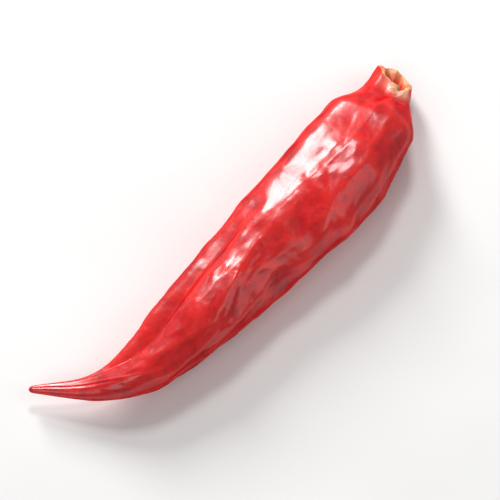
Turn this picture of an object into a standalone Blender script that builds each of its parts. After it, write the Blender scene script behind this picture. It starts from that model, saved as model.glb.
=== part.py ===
"""A dried chilli pepper whose stalk has been pulled off, lying on its belly.

The pod is a loft of closed rings along a bent middle line. It lies along X, with its torn mouth at +X and
its tip at -X. The hollow side of its curve faces +Y, and a small flat on its belly rests on z = 0. The stub
of the stalk sits in the mouth. Lengths are in metres. Angles are in degrees, and those round a ring start at
the hollow side and pass over the top.
"""

import math

import bmesh
import bpy
from mathutils import Vector

# Middle line, measured from the mouth unless its name says otherwise.
POD_LENGTH = 0.0597
BODY_HEADING = 3.5
NECK_BEND = 24.0
NECK_BEND_LENGTH = 0.018
TAIL_BEND = 50.0
TAIL_BEND_START_FROM_TIP = 0.018
TAIL_BEND_END_FROM_TIP = 0.003

# Widths and heights of the pod's section, and where they are reached.
MOUTH_WIDTH = 0.0045
MOUTH_HEIGHT = 0.0042
NECK_AT = 0.0026
NECK_WIDTH = 0.0057
NECK_HEIGHT = 0.0049
SHOULDER_AT = 0.0075
SHOULDER_WIDTH = 0.0105
SHOULDER_HEIGHT = 0.0084
BELLY_AT = 0.0145
BELLY_WIDTH = 0.0121
BELLY_HEIGHT = 0.0096
WAIST_FROM_TIP = 0.0245
WAIST_WIDTH = 0.0098
WAIST_HEIGHT = 0.0078
TAIL_FROM_TIP = 0.0130
TAIL_WIDTH = 0.0058
TAIL_HEIGHT = 0.0046
STRIP_FROM_TIP = 0.0055
STRIP_WIDTH = 0.0023
STRIP_HEIGHT = 0.0017
TIP_WIDTH = 0.0007
TIP_HEIGHT = 0.0006
TIP_CAP = 0.0002

# How the pod lies: its neck and tail rise off the ground, and the belly is pressed flat.
NECK_LIFT = 0.0015
NECK_LIFT_LENGTH = 0.012
TAIL_LIFT = 0.0022
TAIL_LIFT_START_FROM_TIP = 0.034
BELLY_PRESS = 0.0002

# Section: 2 is an ellipse, and a higher number is squarer.
SECTION_POWER = 2.2
LOBES = 3
LOBE_DEPTH = 0.00022
LOBE_TWIST = 150.0

# Folds that run along the body, sunk where the skin dried inwards. Each has its depth, its angle round the
# ring at the tip, how wide it spreads in degrees, and where it starts and ends, measured from the tip. They
# turn round the pod by FOLD_TWIST over its length.
FOLDS = (
    (0.0006, 34.0, 14.0, 0.038, 0.006),
    (0.0004, 38.0, 12.0, 0.027, 0.006),
    (0.0005, 56.0, 24.0, 0.035, 0.008),
    (0.0005, 38.0, 24.0, 0.057, 0.030),
    (0.0005, 184.0, 22.0, 0.044, 0.012),
    (0.0004, 308.0, 20.0, 0.040, 0.010),
)
FOLD_TWIST = 25.0
FOLD_FADE = 0.009

# Pleats gathered at the mouth.
PLEATS = 7
PLEAT_DEPTH = 0.0003
PLEAT_LENGTH = 0.0085

# The torn mouth: one lip reaches further than the other, and a notch cuts the short one.
SKIN = 0.0005
LIP_CREST = 0.00015
LIP_REACH = 0.0015
LIP_REACH_ANGLE = 300.0
NOTCH_DEPTH = 0.0012
NOTCH_ANGLE = 118.0
NOTCH_SPREAD = 28.0
TEAR_LENGTH = 0.0075
MOUTH_DEPTH = 0.0045
MOUTH_NARROWING = 0.00015

# The stub of the stalk, which fits the mouth with a gap all round.
STUB_GAP = 0.0003
STUB_END = 0.0014
STUB_DOME = 0.0005

# Mesh
RING_POINTS = 56
RINGS = 61
RECESS_RINGS = 6
STUB_POINTS = 24
STUB_RINGS = 5
STUB_DOME_RINGS = 3


def smooth_step(x):
    """0 below 0, 1 above 1, and a smooth rise between."""
    x = min(max(x, 0.0), 1.0)
    return x * x * (3.0 - 2.0 * x)


def bump(angle, centre, spread):
    """A smooth bump of height 1 at an angle round the ring."""
    off = (angle - centre + 180.0) % 360.0 - 180.0
    return math.exp(-((off / spread) ** 2))


def stations():
    """(distance from the mouth, width, height) where the section's size is set."""
    return (
        (0.0, MOUTH_WIDTH, MOUTH_HEIGHT),
        (NECK_AT, NECK_WIDTH, NECK_HEIGHT),
        (SHOULDER_AT, SHOULDER_WIDTH, SHOULDER_HEIGHT),
        (BELLY_AT, BELLY_WIDTH, BELLY_HEIGHT),
        (POD_LENGTH - WAIST_FROM_TIP, WAIST_WIDTH, WAIST_HEIGHT),
        (POD_LENGTH - TAIL_FROM_TIP, TAIL_WIDTH, TAIL_HEIGHT),
        (POD_LENGTH - STRIP_FROM_TIP, STRIP_WIDTH, STRIP_HEIGHT),
        (POD_LENGTH, TIP_WIDTH, TIP_HEIGHT),
    )


def slopes(places, values):
    """A slope for each place that lets a cubic curve pass without overshooting."""
    steps = [
        (values[i + 1] - values[i]) / (places[i + 1] - places[i]) for i in range(len(places) - 1)
    ]
    inner = [0.0 if a * b <= 0.0 else 2.0 * a * b / (a + b) for a, b in zip(steps, steps[1:])]
    return [steps[0], *inner, steps[-1]]


def smooth_through(places, values, at):
    """The value at one place on the smooth curve through the given values."""
    at = min(max(at, places[0]), places[-1])
    i = max(k for k in range(len(places) - 1) if places[k] <= at)
    gap = places[i + 1] - places[i]
    t = (at - places[i]) / gap
    slope = slopes(places, values)
    start = values[i] + t * t * (3.0 - 2.0 * t) * (values[i + 1] - values[i])
    return start + gap * t * (1.0 - t) * ((1.0 - t) * slope[i] - t * slope[i + 1])


def half_size(distance):
    """Half the section's width and half its height."""
    places, widths, heights = zip(*stations())
    return (
        0.5 * smooth_through(places, widths, distance),
        0.5 * smooth_through(places, heights, distance),
    )


def heading(distance):
    """The middle line's direction, in radians, as it runs from the tip to the mouth."""
    tail_start = POD_LENGTH - TAIL_BEND_START_FROM_TIP
    tail_length = TAIL_BEND_START_FROM_TIP - TAIL_BEND_END_FROM_TIP
    neck = NECK_BEND * (1.0 - smooth_step(distance / NECK_BEND_LENGTH))
    tail = TAIL_BEND * smooth_step((distance - tail_start) / tail_length)
    return math.radians(BODY_HEADING + neck - tail)


def lift(distance):
    """Height of the underside before the belly is cut flat."""
    neck = NECK_LIFT * (1.0 - smooth_step(distance / NECK_LIFT_LENGTH))
    tail_start = POD_LENGTH - TAIL_LIFT_START_FROM_TIP
    tail = TAIL_LIFT * smooth_step((distance - tail_start) / TAIL_LIFT_START_FROM_TIP)
    return neck + tail - BELLY_PRESS


def middle_line():
    """Points of the middle line from the mouth to the tip, one a ring, with their directions."""
    step = POD_LENGTH / (RINGS - 1)
    place = Vector((0.0, 0.0, 0.0))
    line = []
    for i in range(RINGS):
        distance = i * step
        angle = heading(distance)
        forward = Vector((math.cos(angle), math.sin(angle), 0.0))
        height = lift(distance) + half_size(distance)[1]
        line.append((distance, Vector((place.x, place.y, height)), forward))
        halfway = heading(distance + 0.5 * step)
        place -= step * Vector((math.cos(halfway), math.sin(halfway), 0.0))
    return line


def folds(angle, distance):
    """Depth of the folds that run along the body."""
    from_tip = POD_LENGTH - distance
    depth = 0.0
    for deep, centre, spread, start, end in FOLDS:
        along = smooth_step((start - from_tip) / FOLD_FADE) * smooth_step((from_tip - end) / FOLD_FADE)
        turned = centre + FOLD_TWIST * from_tip / POD_LENGTH
        depth += deep * along * bump(angle, turned, spread)
    return depth


def pleats(angle, distance):
    """Depth of the gathers, deepest at the mouth."""
    fade = 1.0 - smooth_step(distance / PLEAT_LENGTH)
    return PLEAT_DEPTH * fade * (0.5 - 0.5 * math.cos(math.radians(PLEATS * angle)))


def lobes(angle, distance):
    """Height of the soft lobes that wind slowly along the body."""
    width = half_size(distance)[0]
    turn = LOBE_TWIST * distance / POD_LENGTH
    share = smooth_step(2.0 * width / SHOULDER_WIDTH)
    return LOBE_DEPTH * share * math.cos(math.radians(LOBES * (angle - turn)))


def plain_radius(angle, distance):
    """Distance from the middle line to the section's outline, before it dries and folds."""
    half_width, half_height = half_size(distance)
    c = abs(math.cos(math.radians(angle))) / half_width
    s = abs(math.sin(math.radians(angle))) / half_height
    return (c**SECTION_POWER + s**SECTION_POWER) ** (-1.0 / SECTION_POWER)


def radius(angle, distance):
    """Distance from the middle line to the skin."""
    sunk = folds(angle, distance) + pleats(angle, distance)
    return plain_radius(angle, distance) + lobes(angle, distance) - sunk


def stub_radius(angle):
    """Distance from the middle line to the stub, which clears the deepest pleat of the mouth."""
    bare = plain_radius(angle, 0.0) + lobes(angle, 0.0) - PLEAT_DEPTH
    return bare - SKIN - MOUTH_NARROWING - STUB_GAP


def reach(angle):
    """How far the torn lip stands out past the mouth's plane."""
    long_lip = LIP_REACH * math.cos(math.radians(angle - LIP_REACH_ANGLE))
    return long_lip - NOTCH_DEPTH * bump(angle, NOTCH_ANGLE, NOTCH_SPREAD)


def ring_place(centre, forward, angle, out, along):
    """A point at a distance out from the middle line, moved along it towards the mouth."""
    side = Vector((-forward.y, forward.x, 0.0))
    up = Vector((0.0, 0.0, 1.0))
    turn = math.radians(angle)
    return centre + out * (math.cos(turn) * side + math.sin(turn) * up) + along * forward


def ring_angles(count):
    return [360.0 * i / count for i in range(count)]


def outer_rings(line):
    """The skin's rings from the mouth to the tip."""
    rings = []
    for distance, centre, forward in line:
        fade = max(1.0 - distance / TEAR_LENGTH, 0.0) ** 2
        rings.append(
            [
                ring_place(centre, forward, a, radius(a, distance), fade * reach(a))
                for a in ring_angles(RING_POINTS)
            ]
        )
    return rings


def recess_ring(mouth, inset, depth, reach_share):
    """A ring inside the mouth: inset from the skin, and a depth below the lip."""
    _, centre, forward = mouth
    return [
        ring_place(centre, forward, a, radius(a, 0.0) - inset, reach_share * reach(a) - depth)
        for a in ring_angles(RING_POINTS)
    ]


def recess_rings(mouth):
    """The inside of the mouth, from the bottom of the recess out to the crest of the lip."""
    rings = []
    for i in range(RECESS_RINGS):
        share = 1.0 - i / (RECESS_RINGS - 1)
        inset = SKIN + MOUTH_NARROWING * smooth_step(2.0 * share)
        rings.append(recess_ring(mouth, inset, MOUTH_DEPTH * share, 1.0 - share))
    rings.append(recess_ring(mouth, 0.5 * SKIN, -LIP_CREST, 1.0))
    return rings


def stub_ring(mouth, out, depth):
    """A ring of the stub, its radius scaled by a share, at a depth below the mouth's plane."""
    _, centre, forward = mouth
    return [
        ring_place(centre, forward, a, out * stub_radius(a), -depth) for a in ring_angles(STUB_POINTS)
    ]


def stub_rings(mouth):
    """The stub, from its foot in the recess to its rounded, broken end."""
    foot = MOUTH_DEPTH - STUB_GAP
    rings = []
    for i in range(STUB_RINGS):
        share = i / (STUB_RINGS - 1)
        rings.append(stub_ring(mouth, 1.0, foot + share * (STUB_END - foot)))
    for i in range(1, STUB_DOME_RINGS + 1):
        turn = 0.5 * math.pi * i / (STUB_DOME_RINGS + 1)
        rings.append(stub_ring(mouth, math.cos(turn), STUB_END - STUB_DOME * math.sin(turn)))
    return rings


def middle_of(ring):
    return sum(ring, Vector()) / len(ring)


def add_rings(mesh, rings):
    """Joins each ring to the next with a band of faces, and returns the first and last loops."""
    loops = [[mesh.verts.new(point) for point in ring] for ring in rings]
    for near, far in zip(loops, loops[1:]):
        for i in range(len(near)):
            after = (i + 1) % len(near)
            mesh.faces.new((near[i], near[after], far[after], far[i]))
    return loops[0], loops[-1]


def close_loop(mesh, loop, peak):
    """Closes a loop with a fan of triangles to one point."""
    point = mesh.verts.new(peak)
    for i, vert in enumerate(loop):
        mesh.faces.new((vert, loop[(i + 1) % len(loop)], point))


def flatten_belly(mesh):
    """Cuts the belly off at z = 0 and closes the cut with one flat face."""
    every = [*mesh.verts, *mesh.edges, *mesh.faces]
    cut = bmesh.ops.bisect_plane(
        mesh, geom=every, dist=1e-8, plane_co=(0, 0, 0), plane_no=(0, 0, -1), clear_outer=True
    )
    edges = [item for item in cut["geom_cut"] if isinstance(item, bmesh.types.BMEdge)]
    bmesh.ops.edgeloop_fill(mesh, edges=edges)


def principled(name, colour, roughness):
    """A plain material that isn't metal."""
    material = bpy.data.materials.new(name)
    material.use_nodes = True
    shader = material.node_tree.nodes["Principled BSDF"]
    shader.inputs["Base Color"].default_value = (*colour, 1.0)
    shader.inputs["Roughness"].default_value = roughness
    shader.inputs["Metallic"].default_value = 0.0
    return material


def add_object(name, mesh, material):
    """Turns the mesh into a smooth shaded object."""
    bmesh.ops.recalc_face_normals(mesh, faces=mesh.faces)
    data = bpy.data.meshes.new(name)
    mesh.to_mesh(data)
    mesh.free()
    data.shade_smooth()
    data.materials.append(material)
    made = bpy.data.objects.new(name, data)
    bpy.context.scene.collection.objects.link(made)
    return made


def make_pod(line):
    """The pod's skin: its outside, its lips and the recess of its mouth."""
    mesh = bmesh.new()
    floor, tip = add_rings(mesh, recess_rings(line[0]) + outer_rings(line))
    close_loop(mesh, floor, middle_of([vert.co for vert in floor]))
    _, end, forward = line[-1]
    close_loop(mesh, tip, end - TIP_CAP * forward)
    flatten_belly(mesh)
    return add_object("pod", mesh, principled("dried_skin", (0.40, 0.012, 0.014), 0.28))


def make_stub(line):
    """The broken stub of the stalk."""
    mesh = bmesh.new()
    foot, end = add_rings(mesh, stub_rings(line[0]))
    close_loop(mesh, foot, middle_of([vert.co for vert in foot]))
    _, centre, forward = line[0]
    close_loop(mesh, end, centre + (STUB_DOME - STUB_END) * forward)
    return add_object("stem_stub", mesh, principled("dry_stalk", (0.78, 0.52, 0.22), 0.75))


def centre_on_origin(pod, pieces):
    """Puts the middle of the pod's box over the origin."""
    places = [vert.co for vert in pod.data.vertices]
    middle_x = 0.5 * (min(p.x for p in places) + max(p.x for p in places))
    middle_y = 0.5 * (min(p.y for p in places) + max(p.y for p in places))
    for piece in pieces:
        piece.location = (-middle_x, -middle_y, 0.0)


def main():
    for old in list(bpy.data.objects):
        bpy.data.objects.remove(old, do_unlink=True)
    line = middle_line()
    pod = make_pod(line)
    centre_on_origin(pod, (pod, make_stub(line)))


main()
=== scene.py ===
"""The looks of a dried chilli pepper: a glossy, wrinkled pod with a torn mouth, and the stub of its stalk."""

import math

import bpy
import numpy as np
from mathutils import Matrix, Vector


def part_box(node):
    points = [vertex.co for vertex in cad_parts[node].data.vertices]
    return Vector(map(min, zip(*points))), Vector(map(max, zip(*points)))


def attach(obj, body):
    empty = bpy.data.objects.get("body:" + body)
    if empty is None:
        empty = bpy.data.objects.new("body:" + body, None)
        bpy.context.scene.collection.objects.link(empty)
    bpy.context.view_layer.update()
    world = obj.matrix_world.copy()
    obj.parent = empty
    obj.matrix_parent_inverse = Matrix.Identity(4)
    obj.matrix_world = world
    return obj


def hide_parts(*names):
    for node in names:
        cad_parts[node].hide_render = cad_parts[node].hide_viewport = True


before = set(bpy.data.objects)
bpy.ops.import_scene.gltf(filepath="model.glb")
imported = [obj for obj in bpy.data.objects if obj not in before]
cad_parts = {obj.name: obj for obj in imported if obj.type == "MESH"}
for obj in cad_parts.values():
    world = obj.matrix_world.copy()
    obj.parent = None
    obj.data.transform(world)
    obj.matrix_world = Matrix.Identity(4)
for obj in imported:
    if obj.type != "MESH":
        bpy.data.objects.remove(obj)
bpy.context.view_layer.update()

# Lengths are in metres. Angles are in degrees, and those round a ring start at the hollow side and pass over
# the top.

# Middle line of the pod, measured from its mouth unless the name says otherwise.
POD_LENGTH = 0.0597
BODY_HEADING = 3.5
NECK_BEND = 24.0
NECK_BEND_LENGTH = 0.018
TAIL_BEND = 50.0
TAIL_BEND_START_FROM_TIP = 0.018
TAIL_BEND_END_FROM_TIP = 0.003

# Section: (distance from the mouth, width, height), then the same measured from the tip.
FROM_MOUTH = (
    (0.0, 0.0045, 0.0042),
    (0.0026, 0.0057, 0.0049),
    (0.0075, 0.0105, 0.0084),
    (0.0145, 0.0121, 0.0096),
)
FROM_TIP = (
    (0.0245, 0.0098, 0.0078),
    (0.0130, 0.0058, 0.0046),
    (0.0055, 0.0023, 0.0017),
    (0.0, 0.0007, 0.0006),
)
SECTION_POWER = 2.2
LOBES = 3
LOBE_DEPTH = 0.00022
LOBE_TWIST = 150.0

# How the pod lies.
NECK_LIFT = 0.0015
NECK_LIFT_LENGTH = 0.012
TAIL_LIFT = 0.0022
TAIL_LIFT_START_FROM_TIP = 0.034
BELLY_PRESS = 0.0002

# Folds along the body: depth, angle at the tip, spread, and where they start and end from the tip.
FOLDS = (
    (0.0006, 34.0, 14.0, 0.038, 0.006),
    (0.0004, 38.0, 12.0, 0.027, 0.006),
    (0.0005, 56.0, 24.0, 0.035, 0.008),
    (0.0005, 38.0, 24.0, 0.057, 0.030),
    (0.0005, 184.0, 22.0, 0.044, 0.012),
    (0.0004, 308.0, 20.0, 0.040, 0.010),
)
FOLD_TWIST = 25.0
FOLD_FADE = 0.009

# Pleats at the mouth, and the torn lip.
PLEATS = 7
PLEAT_DEPTH = 0.0003
PLEAT_LENGTH = 0.0085
SKIN = 0.0005
LIP_CREST = 0.00015
LIP_REACH = 0.0015
LIP_REACH_ANGLE = 300.0
NOTCH_DEPTH = 0.0012
NOTCH_ANGLE = 118.0
NOTCH_SPREAD = 28.0
TEAR_LENGTH = 0.0075
MOUTH_DEPTH = 0.0045
MOUTH_NARROWING = 0.00015
STUB_GAP = 0.0003
STUB_END = 0.0014
STUB_DOME = 0.0005

# Mesh
RINGS = 520
AROUND = 180
RECESS_RINGS = 26
LINE_STEPS = 1200
STUB_AROUND = 72
STUB_RINGS = 34
STUB_DOME_RINGS = 12
STUB_DOME_TURN = 0.47 * math.pi

# Soft dents, and the warp that keeps the other wrinkles from lying straight (in degrees).
DENT_DEPTH = 0.00024
DENT_SIZE = 0.0050
DENTS_AROUND = 6
WARP = 16.0
WARP_SIZE = 0.006
WARPS_AROUND = 6

# Collapsed panels of skin with ridges between them, from the largest to the smallest: depth of the ridges,
# length of a panel, panels round a ring, and the width and rounding of the ridges in panel widths.
PANEL_DEPTH = 0.00022
PANEL_SIZE = 0.0066
PANELS_AROUND = 8
PANEL_EDGE = (0.42, 0.14)
FACET_DEPTH = 0.00007
FACET_SIZE = 0.0038
FACETS_AROUND = 15
FACET_EDGE = (0.45, 0.20)
NET_DEPTH = 0.00003
NET_SIZE = 0.0021
NET_AROUND = 26
NET_EDGE = (0.5, 0.25)

# Crinkles: their depth, length and count round a ring, the width and rounding of their creases, and the share
# of their depth that is left where the skin is smoothest.
CRINKLE_DEPTH = 0.00004
CRINKLE_SIZE = 0.0012
CRINKLES_AROUND = 38
CREASE_EDGE = (0.6, 0.25)
SMOOTHEST = 0.25

# Seeds under the skin, how far each strays from its place along and round the pod, and how its size varies.
SEED_COUNT = 30
SEED_HEIGHT = 0.00016
SEED_RADIUS = 0.00125
SEEDS_FROM = 0.006
SEEDS_OVER = 0.036
SEED_TURN = 137.5
SEED_STRAY = 0.0008
SEED_TURN_STRAY = 16.0
SEED_SIZES = (0.8, 1.25)

# Long wrinkles, strongest at the neck and the tail.
STRIA_DEPTH = 0.00024
STRIA_SIZE = 0.0095
STRIA_COUNT = 15
STRIA_WIDTH = 0.5

# Where the relief changes: the half width that takes all of it, and the ends of the neck and the tail.
THICK_FROM = 0.0038
NECK_FROM = 0.002
NECK_FADE = 0.010
TAIL_FROM_TIP = 0.024
TAIL_FADE = 0.014

# The skin is tauter along one side.
TAUT_ANGLE = 48.0
TAUT_SPREAD = 34.0
TAUT_SHARE = 0.65

# The frayed lip, the scar at its notch, the tip and the belly.
RAGGED = 0.00028
RIB_DEPTH = 0.00004
SCAR_SPREAD = 46.0
SCAR_LENGTH = 0.0021
TORN_FADE = 0.0005
TIP_ROUNDING = 0.0005
BELLY_SOFTNESS = 0.00005

RNG = np.random.default_rng(11)


def smooth_step(x):
    x = np.clip(x, 0.0, 1.0)
    return x * x * (3.0 - 2.0 * x)


def bump(angle, centre, spread):
    off = (angle - centre + 180.0) % 360.0 - 180.0
    return np.exp(-((off / spread) ** 2))


def through(places, values, at):
    """A smooth curve through the values that doesn't overshoot."""
    places, values = np.array(places), np.array(values)
    gaps = np.diff(places)
    steps = np.diff(values) / gaps
    same_way = steps[:-1] * steps[1:] > 0.0
    total = np.where(same_way, steps[:-1] + steps[1:], 1.0)
    inner = np.where(same_way, 2.0 * steps[:-1] * steps[1:] / total, 0.0)
    slope = np.concatenate(([steps[0]], inner, [steps[-1]]))
    at = np.clip(at, places[0], places[-1])
    i = np.clip(np.searchsorted(places, at, side="right") - 1, 0, len(gaps) - 1)
    t = (at - places[i]) / gaps[i]
    base = values[i] + t * t * (3.0 - 2.0 * t) * (values[i + 1] - values[i])
    return base + gaps[i] * t * (1.0 - t) * ((1.0 - t) * slope[i] - t * slope[i + 1])


def half_size(distance):
    rows = list(FROM_MOUTH) + [(POD_LENGTH - d, w, h) for d, w, h in FROM_TIP]
    places, widths, heights = zip(*rows)
    return 0.5 * through(places, widths, distance), 0.5 * through(places, heights, distance)


def heading(distance):
    tail_start = POD_LENGTH - TAIL_BEND_START_FROM_TIP
    tail_length = TAIL_BEND_START_FROM_TIP - TAIL_BEND_END_FROM_TIP
    neck = NECK_BEND * (1.0 - smooth_step(distance / NECK_BEND_LENGTH))
    tail = TAIL_BEND * smooth_step((distance - tail_start) / tail_length)
    return np.radians(BODY_HEADING + neck - tail)


def lift(distance):
    neck = NECK_LIFT * (1.0 - smooth_step(distance / NECK_LIFT_LENGTH))
    tail_start = POD_LENGTH - TAIL_LIFT_START_FROM_TIP
    tail = TAIL_LIFT * smooth_step((distance - tail_start) / TAIL_LIFT_START_FROM_TIP)
    return neck + tail - BELLY_PRESS


def folds(angle, distance):
    from_tip = POD_LENGTH - distance
    depth = 0.0
    for deep, centre, spread, start, end in FOLDS:
        along = smooth_step((start - from_tip) / FOLD_FADE) * smooth_step((from_tip - end) / FOLD_FADE)
        turned = centre + FOLD_TWIST * from_tip / POD_LENGTH
        depth = depth + deep * along * bump(angle, turned, spread)
    return depth


def pleats(angle, distance):
    fade = 1.0 - smooth_step(distance / PLEAT_LENGTH)
    return PLEAT_DEPTH * fade * (0.5 - 0.5 * np.cos(np.radians(PLEATS * angle)))


def lobes(angle, distance):
    share = smooth_step(2.0 * half_size(distance)[0] / FROM_MOUTH[2][1])
    turn = LOBE_TWIST * distance / POD_LENGTH
    return LOBE_DEPTH * share * np.cos(np.radians(LOBES * (angle - turn)))


def plain_radius(angle, distance):
    half_width, half_height = half_size(distance)
    c = np.abs(np.cos(np.radians(angle))) / half_width
    s = np.abs(np.sin(np.radians(angle))) / half_height
    return (c**SECTION_POWER + s**SECTION_POWER) ** (-1.0 / SECTION_POWER)


def reach(angle):
    long_lip = LIP_REACH * np.cos(np.radians(angle - LIP_REACH_ANGLE))
    return long_lip - NOTCH_DEPTH * bump(angle, NOTCH_ANGLE, NOTCH_SPREAD)


def spline_weights(t):
    """The four weights of a smooth curve between lattice values."""
    return (
        (1.0 - t) ** 3 / 6.0,
        (3.0 * t**3 - 6.0 * t**2 + 4.0) / 6.0,
        (-3.0 * t**3 + 3.0 * t**2 + 3.0 * t + 1.0) / 6.0,
        t**3 / 6.0,
    )


def soft_noise(distance, angle, spacing, around, warp=0.0):
    """Smooth random heights, about -1 to 1, that join up round the ring."""
    along = int(POD_LENGTH / spacing) + 8
    lattice = RNG.normal(0.0, 1.0, (along, around))
    u = distance / spacing + 3.0
    v = (angle + warp) / 360.0 * around
    i, j = np.floor(u).astype(int), np.floor(v).astype(int)
    weights_u, weights_v = spline_weights(u - i), spline_weights(v - j)
    total = 0.0
    for a, wu in enumerate(weights_u):
        for b, wv in enumerate(weights_v):
            total = total + wu * wv * lattice[np.clip(i + a - 1, 0, along - 1), (j + b - 1) % around]
    return total * 1.6


def seed_places():
    """Seeds under the skin, scattered by a golden-angle walk with a little disorder."""
    k = np.arange(SEED_COUNT)
    at = SEEDS_FROM + SEEDS_OVER * (k + 0.5) / SEED_COUNT + RNG.normal(0.0, SEED_STRAY, SEED_COUNT)
    turn = SEED_TURN * k + RNG.normal(0.0, SEED_TURN_STRAY, SEED_COUNT)
    size = SEED_RADIUS * RNG.uniform(*SEED_SIZES, SEED_COUNT)
    return at, turn % 360.0, size


def seed_bumps(distance, angle):
    """Low domes where the skin has dried down on the seeds."""
    girth = sum(half_size(distance)) / 2.0
    height = np.zeros_like(distance)
    for at, turn, size in zip(*seed_places()):
        off = np.radians((angle - turn + 180.0) % 360.0 - 180.0) * girth
        away = np.hypot(distance - at, off) / size
        height = np.maximum(height, np.exp(-(away**3)))
    return SEED_HEIGHT * height


def panel_edges(distance, angle, spacing, around, warp):
    """How far each point is from the border of its panel, in panel widths."""
    along = int(POD_LENGTH / spacing) + 8
    places = RNG.uniform(0.08, 0.92, (2, along, around))
    u = distance / spacing + 3.0
    v = (angle + warp) / 360.0 * around
    i, j = np.floor(u).astype(int), np.floor(v).astype(int)
    nearest = np.full_like(u, 9.0)
    second = np.full_like(u, 9.0)
    for a in (-2, -1, 0, 1, 2):
        row = np.clip(i + a, 0, along - 1)
        for b in (-2, -1, 0, 1, 2):
            column = (j + b) % around
            away = np.hypot(i + a + places[0, row, column] - u, j + b + places[1, row, column] - v)
            second = np.minimum(second, np.maximum(nearest, away))
            nearest = np.minimum(nearest, away)
    return second - nearest


def ridge(edge, width, rounding):
    """1 on the border between panels, falling away on both sides of it."""
    return np.exp((rounding - np.hypot(edge, rounding)) / width)


def fine_skin(distance, angle):
    """Dents, collapsed panels, crinkles, seeds and long wrinkles. Returns the height, the ridges, where
    highlight is painted, and the hollows, where shade is painted.
    """
    half = half_size(distance)[0]
    thick = smooth_step(half / THICK_FROM)
    neck = 1.0 - smooth_step((distance - NECK_FROM) / NECK_FADE)
    tail = smooth_step((distance - (POD_LENGTH - TAIL_FROM_TIP)) / TAIL_FADE)
    warp = WARP * soft_noise(distance, angle, WARP_SIZE, WARPS_AROUND)
    dents = soft_noise(distance, angle, DENT_SIZE, DENTS_AROUND, warp)
    panels = ridge(panel_edges(distance, angle, PANEL_SIZE, PANELS_AROUND, warp), *PANEL_EDGE)
    facets = ridge(panel_edges(distance, angle, FACET_SIZE, FACETS_AROUND, 1.3 * warp), *FACET_EDGE)
    crinkle = 0.6 * soft_noise(distance, angle, CRINKLE_SIZE, CRINKLES_AROUND, warp)
    across = soft_noise(distance, angle, CRINKLE_SIZE, CRINKLES_AROUND // 2, 2.0 * warp)
    crinkle = crinkle + 0.9 * (ridge(across, *CREASE_EDGE) - 0.5)
    net = ridge(panel_edges(distance, angle, NET_SIZE, NET_AROUND, 1.2 * warp), *NET_EDGE)
    patches = soft_noise(distance, angle, WARP_SIZE, WARPS_AROUND)
    crinkled = SMOOTHEST + (1.0 - SMOOTHEST) * smooth_step(0.55 + 0.7 * patches)
    long_noise = soft_noise(distance, angle, STRIA_SIZE, STRIA_COUNT, 1.2 * warp)
    long_ridge = np.exp(-np.abs(long_noise) / STRIA_WIDTH)
    strength = np.clip(0.3 * thick + 0.9 * tail * (0.15 + thick) + 0.7 * neck, 0.0, 1.2)
    taut = 1.0 - TAUT_SHARE * bump(angle, TAUT_ANGLE, TAUT_SPREAD)
    height = DENT_DEPTH * dents * thick * (1.0 - 0.5 * neck)
    height += PANEL_DEPTH * (panels - 0.45) * thick * (1.0 - 0.6 * neck)
    height += FACET_DEPTH * (facets - 0.45) * thick
    height += CRINKLE_DEPTH * crinkle * crinkled * thick
    height += NET_DEPTH * (net - 0.5) * thick
    height += seed_bumps(distance, angle) * thick * (1.0 - neck)
    height *= taut
    height += STRIA_DEPTH * (long_ridge - 0.5) * strength * taut
    # Ridges, where the skin is painted a lighter red as a highlight.
    crest = np.clip(0.8 * panels**2 * thick + 0.35 * facets**2 + 0.5 * long_ridge**2 * strength, 0.0, 1.0)
    # Depth in the hollows: it paints shade on the skin there and makes the skin rougher.
    hollow = np.clip(0.5 - height / (2.2 * DENT_DEPTH), 0.0, 1.0)
    return height, crest, hollow


def middle_line(distance):
    """The middle line's points and directions at each distance, which rise from 0."""
    fine = np.linspace(0.0, POD_LENGTH, LINE_STEPS + 1)
    half_step = 0.5 * (fine[1] - fine[0])
    angle = heading(fine[:-1] + half_step)
    x = np.concatenate(([0.0], -np.cumsum(np.cos(angle)) * 2.0 * half_step))
    y = np.concatenate(([0.0], -np.cumsum(np.sin(angle)) * 2.0 * half_step))
    at = np.clip(distance, 0.0, POD_LENGTH)
    z = lift(at) + half_size(at)[1]
    here = heading(at)
    line = np.stack([np.interp(at, fine, x), np.interp(at, fine, y), z], axis=-1)
    forward = np.stack([np.cos(here), np.sin(here), np.zeros_like(here)], axis=-1)
    return line, forward


def ring_points(distance, angle, out, along):
    """Points at a distance out from the middle line, moved along it towards the mouth."""
    line, forward = middle_line(distance)
    side = np.stack([-forward[..., 1], forward[..., 0], np.zeros_like(out)], axis=-1)
    turn = np.radians(angle)
    points = line + out[..., None] * np.cos(turn)[..., None] * side + along[..., None] * forward
    points[..., 2] += out * np.sin(turn)
    return points


def ragged_lip(angle):
    """Small tears along the lip."""
    zero = np.zeros_like(angle)
    coarse = soft_noise(zero, angle, 0.01, 11)
    fine = soft_noise(zero, angle, 0.01, 29)
    return RAGGED * (0.8 * coarse + 0.35 * fine)


def grid(rows, angles):
    return np.meshgrid(rows, angles, indexing="ij")


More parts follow.
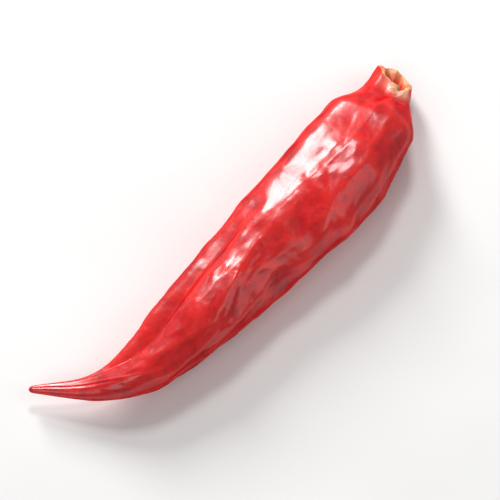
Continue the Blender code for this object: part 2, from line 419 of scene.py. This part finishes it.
class Skin:
    """The pod's rings, from the bottom of the mouth's recess to the tip, with its surface masks."""

    def __init__(self):
        angles = np.arange(AROUND) * 360.0 / AROUND
        tear = ragged_lip(angles)
        outer_d = np.concatenate(([0.0], np.linspace(0.0, 1.0, RINGS)[1:] * POD_LENGTH))
        distance, angle = grid(outer_d, angles)
        height, painted_highlight_mask, hollow = fine_skin(distance, angle)
        radius = plain_radius(angle, distance) + lobes(angle, distance) + height
        radius -= folds(angle, distance) + pleats(angle, distance)
        past = np.clip((distance - (POD_LENGTH - TIP_ROUNDING)) / TIP_ROUNDING, 0.0, 1.0)
        radius *= np.sqrt(1.0 - 0.98 * past**2)
        fade = np.maximum(1.0 - distance / TEAR_LENGTH, 0.0) ** 2
        lip = (reach(angles) + tear)[None, :]
        outer = ring_points(distance, angle, radius, fade * lip)
        mouth = radius[0]
        shares = np.linspace(1.0, 0.0, RECESS_RINGS)
        share, inner_angle = grid(shares, angles)
        zero = np.zeros_like(share)
        rib = soft_noise(share * 0.004, inner_angle, 0.004, 20)
        inset = SKIN + MOUTH_NARROWING * smooth_step(2.0 * share) + RIB_DEPTH * rib
        sunk = (1.0 - share) * lip - MOUTH_DEPTH * share
        inner = ring_points(zero, inner_angle, mouth[None, :] - inset, sunk)
        rounds = np.radians(np.array([150.0, 110.0, 70.0, 30.0]))
        turn, lip_angle = grid(rounds, angles)
        level = np.zeros_like(turn)
        across = mouth[None, :] - 0.5 * SKIN + 0.5 * SKIN * np.cos(turn)
        crest = ring_points(level, lip_angle, across, lip + LIP_CREST * np.sin(turn))
        self.points = np.concatenate([inner, crest, outer])
        self.crest = np.concatenate([zero, level, painted_highlight_mask])
        self.hollow = np.concatenate([zero, level, hollow])
        self.inside = np.concatenate([np.ones_like(share), np.full_like(turn, 0.6), np.zeros_like(distance)])
        torn = np.exp(-distance / TORN_FADE)
        near_rim = bump(angle, NOTCH_ANGLE, SCAR_SPREAD) * np.exp(-((distance / SCAR_LENGTH) ** 4))
        rim = bump(lip_angle, NOTCH_ANGLE, SCAR_SPREAD)
        self.scar = np.concatenate([zero, rim, near_rim])
        self.lip = np.concatenate([1.0 - 0.75 * share, np.ones_like(turn), torn])


def settle(points):
    """Presses what would sink below the ground gently flat."""
    z = points[..., 2]
    points[..., 2] = BELLY_SOFTNESS * np.logaddexp(0.0, z / BELLY_SOFTNESS)


def add_bake_map(mesh, ring, place, rings, around):
    """Lays the rings out flat, one above the other, and splits them under the piece."""
    u = (place + around // 4) % around
    quads = np.stack([u, ring + 1, u + 1, ring + 1, u + 1, ring + 2, u, ring + 2], axis=-1).reshape(-1, 2)
    u = (np.arange(around) + around // 4) % around
    low, high = np.ones(around), np.full(around, rings)
    foot = np.stack([u + 1, low, u, low, u + 0.5, low - 1.0], axis=-1).reshape(-1, 2)
    end = np.stack([u, high, u + 1, high, u + 0.5, high + 1.0], axis=-1).reshape(-1, 2)
    places = np.concatenate([quads, foot, end]) / np.array([around, rings + 1.0])
    mesh.uv_layers.new(name="OFBake").data.foreach_set("uv", places.reshape(-1))


def mesh_from_rings(name, points, masks, foot_peak, end_peak):
    """A closed mesh of rings, with a point closing each end, and one attribute for each mask.

    Its faces look outward if the outer rings run towards the mouth, as the stub's do. The pod's run
    towards the tip, so its faces look inward.
    """
    rings, around = points.shape[:2]
    verts = np.concatenate([points.reshape(-1, 3), [foot_peak, end_peak]])
    ring, place = grid(np.arange(rings - 1), np.arange(around))
    after = (place + 1) % around
    quads = np.stack(
        [
            ring * around + place,
            ring * around + after,
            (ring + 1) * around + after,
            (ring + 1) * around + place,
        ],
        axis=-1,
    ).reshape(-1, 4)
    i = np.arange(around)
    j = (i + 1) % around
    last = (rings - 1) * around
    foot = np.stack([j, i, np.full(around, rings * around)], axis=-1)
    end = np.stack([last + i, last + j, np.full(around, rings * around + 1)], axis=-1)
    mesh = bpy.data.meshes.new(name)
    mesh.from_pydata(verts.tolist(), [], quads.tolist() + foot.tolist() + end.tolist())
    mesh.update()
    add_bake_map(mesh, ring, place, rings, around)
    for key, values in masks.items():
        flat = values.reshape(-1)
        ends = [flat[:around].mean(), flat[-around:].mean()]
        attribute = mesh.attributes.new(key, "FLOAT", "POINT")
        attribute.data.foreach_set("value", np.concatenate([flat, ends]).astype(np.float32))
    mesh.shade_smooth()
    piece = bpy.data.objects.new(name, mesh)
    bpy.context.scene.collection.objects.link(piece)
    return piece


def fit_to_node(pieces, node):
    """Moves the pieces, without turning them, so that the first one's box sits on the node's box."""
    low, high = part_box(node)
    co = np.array([v.co for v in pieces[0].data.vertices])
    own_low, own_high = Vector(co.min(0)), Vector(co.max(0))
    shift = 0.5 * (low + high - own_low - own_high)
    shift.z = low.z - own_low.z
    for piece in pieces:
        for vert in piece.data.vertices:
            vert.co += shift


def make_pod():
    skin = Skin()
    settle(skin.points)
    masks = {
        # The crest mask paints highlight on the ridges; the hollow mask paints shade in the hollows and makes
        # them rougher.
        "crest": skin.crest,
        "hollow": skin.hollow,
        "inside": skin.inside,
        "lip": skin.lip,
        "scar": skin.scar,
    }
    foot = skin.points[0].mean(0)
    end = skin.points[-1].mean(0)
    return mesh_from_rings("dried_pod", skin.points, masks, foot, end)


def make_stub():
    """The fibrous, broken stub."""
    angles = np.arange(STUB_AROUND) * 360.0 / STUB_AROUND
    bare = plain_radius(angles, np.zeros_like(angles)) + lobes(angles, np.zeros_like(angles))
    bare = bare - PLEAT_DEPTH - SKIN - MOUTH_NARROWING - STUB_GAP
    foot = MOUTH_DEPTH - STUB_GAP
    depth = np.concatenate([np.linspace(foot, STUB_END, STUB_RINGS), np.full(STUB_DOME_RINGS, STUB_END)])
    dome = np.linspace(0.0, STUB_DOME_TURN, STUB_DOME_RINGS + 1)[1:]
    turn = np.concatenate([np.zeros(STUB_RINGS), dome])
    at, angle = grid(depth, angles)
    rise, _ = grid(turn, angles)
    fibre = soft_noise(at, angle, 0.003, 18)
    chip = soft_noise(rise * 0.001, angle, 0.0004, 9)
    out = bare[None, :] * np.cos(rise) * (1.0 + 0.07 * fibre)
    proud = STUB_DOME * np.sin(rise) * (1.0 + 0.35 * chip)
    points = ring_points(np.zeros_like(at), angle, out, proud - at)
    masks = {"fibre": fibre}
    return mesh_from_rings("broken_stub", points, masks, points[0].mean(0), points[-1].mean(0))


# ---------------------------------------------------------------- materials


class Nodes:
    """Short ways to add shader nodes to one material."""

    def __init__(self, name):
        self.material = bpy.data.materials.new(name)
        self.material.use_nodes = True
        self.tree = self.material.node_tree
        self.shader = self.tree.nodes["Principled BSDF"]

    def add(self, kind, **settings):
        node = self.tree.nodes.new("ShaderNode" + kind)
        for key, value in settings.items():
            setattr(node, key, value)
        return node

    def link(self, source, target):
        self.tree.links.new(source, target)

    def value(self, name):
        return self.add("Attribute", attribute_name=name).outputs["Fac"]

    def noise(self, scale, detail=3.0, roughness=0.5, distortion=0.0, kind="FBM"):
        node = self.add("TexNoise", noise_type=kind)
        node.inputs["Scale"].default_value = scale
        node.inputs["Detail"].default_value = detail
        node.inputs["Roughness"].default_value = roughness
        node.inputs["Distortion"].default_value = distortion
        self.link(self.place(), node.inputs["Vector"])
        return node.outputs["Fac"]

    def place(self):
        return self.add("TexCoord").outputs["Object"]

    def ramp(self, source, *stops):
        node = self.add("ValToRGB")
        ramp = node.color_ramp
        ramp.interpolation = "EASE"
        while len(ramp.elements) < len(stops):
            ramp.elements.new(0.5)
        for element, (at, colour) in zip(ramp.elements, stops):
            element.position = at
            element.color = (*colour, 1.0) if isinstance(colour, tuple) else (colour, colour, colour, 1.0)
        self.link(source, node.inputs["Fac"])
        return node.outputs["Color"]

    def mix(self, share, first, second, mode="MIX"):
        node = self.add("Mix", data_type="RGBA", blend_type=mode)
        for socket, given in ((node.inputs[0], share), (node.inputs[6], first), (node.inputs[7], second)):
            if isinstance(given, (int, float)):
                socket.default_value = given
            elif isinstance(given, tuple):
                socket.default_value = (*given, 1.0)
            else:
                self.link(given, socket)
        return node.outputs[2]

    def math(self, operation, first, second):
        node = self.add("Math", operation=operation)
        for socket, given in zip(node.inputs, (first, second)):
            if isinstance(given, (int, float)):
                socket.default_value = given
            else:
                self.link(given, socket)
        return node.outputs[0]

    def bump(self, height, strength, distance, below=None):
        node = self.add("Bump")
        node.inputs["Strength"].default_value = strength
        node.inputs["Distance"].default_value = distance
        self.link(height, node.inputs["Height"])
        if below is not None:
            self.link(below, node.inputs["Normal"])
        return node.outputs["Normal"]


def skin_material():
    n = Nodes("dried_skin_red")
    mottle = n.noise(420.0, 4.0, 0.6, distortion=0.5)
    broad = n.noise(90.0, 2.0, 0.5)
    reds = (0.30, (0.50, 0.002, 0.006)), (0.50, (0.71, 0.003, 0.008)), (0.72, (0.81, 0.010, 0.011))
    base = n.ramp(mottle, *reds)
    deep = n.ramp(broad, (0.35, (0.80, 0.62, 0.66)), (0.62, (1.0, 1.0, 1.0)))
    colour = n.mix(1.0, base, deep, "MULTIPLY")
    speckle = n.ramp(n.noise(1050.0, 3.0, 0.55), (0.34, (0.76, 0.6, 0.62)), (0.60, (1.0, 1.0, 1.0)))
    colour = n.mix(0.8, colour, speckle, "MULTIPLY")
    # Painted shade: the deeper the skin lies in a hollow, the closer it is painted to a near-black red.
    low = n.ramp(n.value("hollow"), (0.45, 0.0), (1.0, 0.28))
    colour = n.mix(low, colour, (0.27, 0.001, 0.004))
    # Painted highlight: the skin is painted a lighter red on the ridges.
    high = n.ramp(n.value("crest"), (0.35, 0.0), (1.0, 0.32))
    colour = n.mix(high, colour, (0.86, 0.030, 0.016))
    colour = n.mix(n.math("MULTIPLY", n.value("inside"), 0.8), colour, (0.62, 0.055, 0.030))
    orange = n.ramp(n.value("lip"), (0.82, 0.0), (0.99, 0.9))
    torn = n.ramp(n.noise(900.0, 3.0, 0.6), (0.35, (0.74, 0.20, 0.06)), (0.65, (0.86, 0.52, 0.28)))
    colour = n.mix(orange, colour, torn)
    frayed = n.ramp(n.noise(1500.0, 4.0, 0.7), (0.30, 0.25), (0.50, 0.95))
    colour = n.mix(n.math("MULTIPLY", n.value("scar"), frayed), colour, (0.86, 0.50, 0.33))
    n.link(colour, n.shader.inputs["Base Color"])
    rough = n.ramp(n.noise(500.0, 3.0, 0.6), (0.3, 0.26), (0.7, 0.42))
    rough = n.mix(n.math("MULTIPLY", n.value("hollow"), 0.4), rough, (0.50, 0.50, 0.50))
    rough = n.mix(n.value("inside"), rough, (0.62, 0.62, 0.62))
    n.link(rough, n.shader.inputs["Roughness"])
    grain = n.add("TexVoronoi", feature="SMOOTH_F1")
    grain.inputs["Scale"].default_value = 2600.0
    n.link(n.place(), grain.inputs["Vector"])
    fine = n.bump(grain.outputs["Distance"], 0.12, 0.00006)
    soft = n.bump(n.noise(1300.0, 3.0, 0.6, distortion=0.6), 0.30, 0.00010, fine)
    lines = n.noise(430.0, 2.0, 0.5, distortion=0.8, kind="RIDGED_MULTIFRACTAL")
    creases = n.bump(lines, 0.45, 0.00018, soft)
    n.link(creases, n.shader.inputs["Normal"])
    facing = n.add("LayerWeight")
    facing.inputs["Blend"].default_value = 0.5
    gloss = n.ramp(facing.outputs["Facing"], (0.28, 1.0), (0.64, 0.05))
    outside = n.math("SUBTRACT", 1.0, n.value("inside"))
    n.link(n.math("MULTIPLY", n.math("MULTIPLY", outside, 0.60), gloss), n.shader.inputs["Coat Weight"])
    n.link(n.math("MULTIPLY", gloss, 0.33), n.shader.inputs["Specular IOR Level"])
    n.shader.inputs["Coat Roughness"].default_value = 0.18
    return n.material


def stub_material():
    n = Nodes("dry_stalk_cream")
    creams = (0.3, (0.55, 0.34, 0.14)), (0.55, (0.80, 0.60, 0.30)), (0.75, (0.88, 0.74, 0.46))
    base = n.ramp(n.noise(900.0, 4.0, 0.6), *creams)
    fibre = n.ramp(n.value("fibre"), (0.1, (0.62, 0.45, 0.30)), (0.6, (1.0, 1.0, 1.0)))
    colour = n.mix(0.8, base, fibre, "MULTIPLY")
    n.link(colour, n.shader.inputs["Base Color"])
    n.link(n.ramp(n.noise(700.0), (0.3, 0.65), (0.7, 0.9)), n.shader.inputs["Roughness"])
    n.link(n.bump(n.noise(2400.0, 5.0, 0.7), 0.5, 0.00008), n.shader.inputs["Normal"])
    return n.material


def floor_material():
    n = Nodes("pale_floor")
    pale = n.ramp(n.noise(40.0, 2.0, 0.5), (0.3, (0.82, 0.815, 0.81)), (0.7, (0.86, 0.857, 0.85)))
    n.link(pale, n.shader.inputs["Base Color"])
    n.shader.inputs["Roughness"].default_value = 0.7
    return n.material


# ---------------------------------------------------------------- stage

CAMERA_AZIMUTH = -44.17
CAMERA_ELEVATION = 65.0
LENS = 250.0
SENSOR = 36.0
FRAME_WIDTH = 0.056
TARGET_HEIGHT = 0.004
FLOOR_REACH = 3.0
FLOOR_DROP = 0.00002
WORLD_STRENGTH = 0.25

# Lamps: name, azimuth, elevation, how far off, width, height and power in watts.
LAMPS = (
    ("key", 160.0, 31.0, 0.45, 0.12, 0.20, 1.85),
    ("main", 134.0, 58.0, 0.80, 0.15, 0.15, 1.8),
    ("fill", -75.0, 46.0, 0.80, 0.40, 0.40, 1.1),
    ("side", 30.0, 42.0, 0.80, 0.50, 0.50, 1.1),
)


def direction(azimuth, elevation):
    """From the object towards a camera or lamp. Azimuth 0 is towards -Y, and 90 towards +X."""
    a, e = math.radians(azimuth), math.radians(elevation)
    return Vector((math.sin(a) * math.cos(e), -math.cos(a) * math.cos(e), math.sin(e)))


def aim(thing, target):
    thing.rotation_euler = (target - thing.location).to_track_quat("-Z", "Y").to_euler()


def add_camera(target):
    data = bpy.data.cameras.new("camera")
    data.lens = LENS
    data.sensor_width = SENSOR
    data.clip_start = 0.01
    camera = bpy.data.objects.new("camera", data)
    camera.location = target + direction(CAMERA_AZIMUTH, CAMERA_ELEVATION) * (FRAME_WIDTH / SENSOR * LENS)
    aim(camera, target)
    bpy.context.scene.collection.objects.link(camera)
    bpy.context.scene.camera = camera


def add_lamp(name, target, azimuth, elevation, far, width, height, power):
    data = bpy.data.lights.new(name, "AREA")
    data.shape = "RECTANGLE"
    data.size = width
    data.size_y = height
    data.energy = power
    lamp = bpy.data.objects.new(name, data)
    lamp.location = target + direction(azimuth, elevation) * far
    aim(lamp, target)
    bpy.context.scene.collection.objects.link(lamp)


def add_floor():
    mesh = bpy.data.meshes.new("floor")
    r = FLOOR_REACH
    mesh.from_pydata([(-r, -r, 0.0), (r, -r, 0.0), (r, r, 0.0), (-r, r, 0.0)], [], [(0, 1, 2, 3)])
    mesh.materials.append(floor_material())
    floor = bpy.data.objects.new("floor", mesh)
    floor.location.z = -FLOOR_DROP
    bpy.context.scene.collection.objects.link(floor)


def add_world():
    world = bpy.data.worlds.new("studio")
    world.use_nodes = True
    background = world.node_tree.nodes["Background"]
    background.inputs["Color"].default_value = (1.0, 1.0, 1.0, 1.0)
    background.inputs["Strength"].default_value = WORLD_STRENGTH
    bpy.context.scene.world = world


pod = make_pod()
stub = make_stub()
fit_to_node((pod, stub), "pod")
pod.data.materials.append(skin_material())
stub.data.materials.append(stub_material())
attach(pod, "root")
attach(stub, "root")
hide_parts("pod")
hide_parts("stem_stub")

low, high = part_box("pod")
target = Vector((0.5 * (low.x + high.x), 0.5 * (low.y + high.y), TARGET_HEIGHT))
add_camera(target)
add_floor()
add_world()
for name, *placing in LAMPS:
    add_lamp(name, target, *placing)
bpy.context.scene.view_settings.view_transform = "Standard"
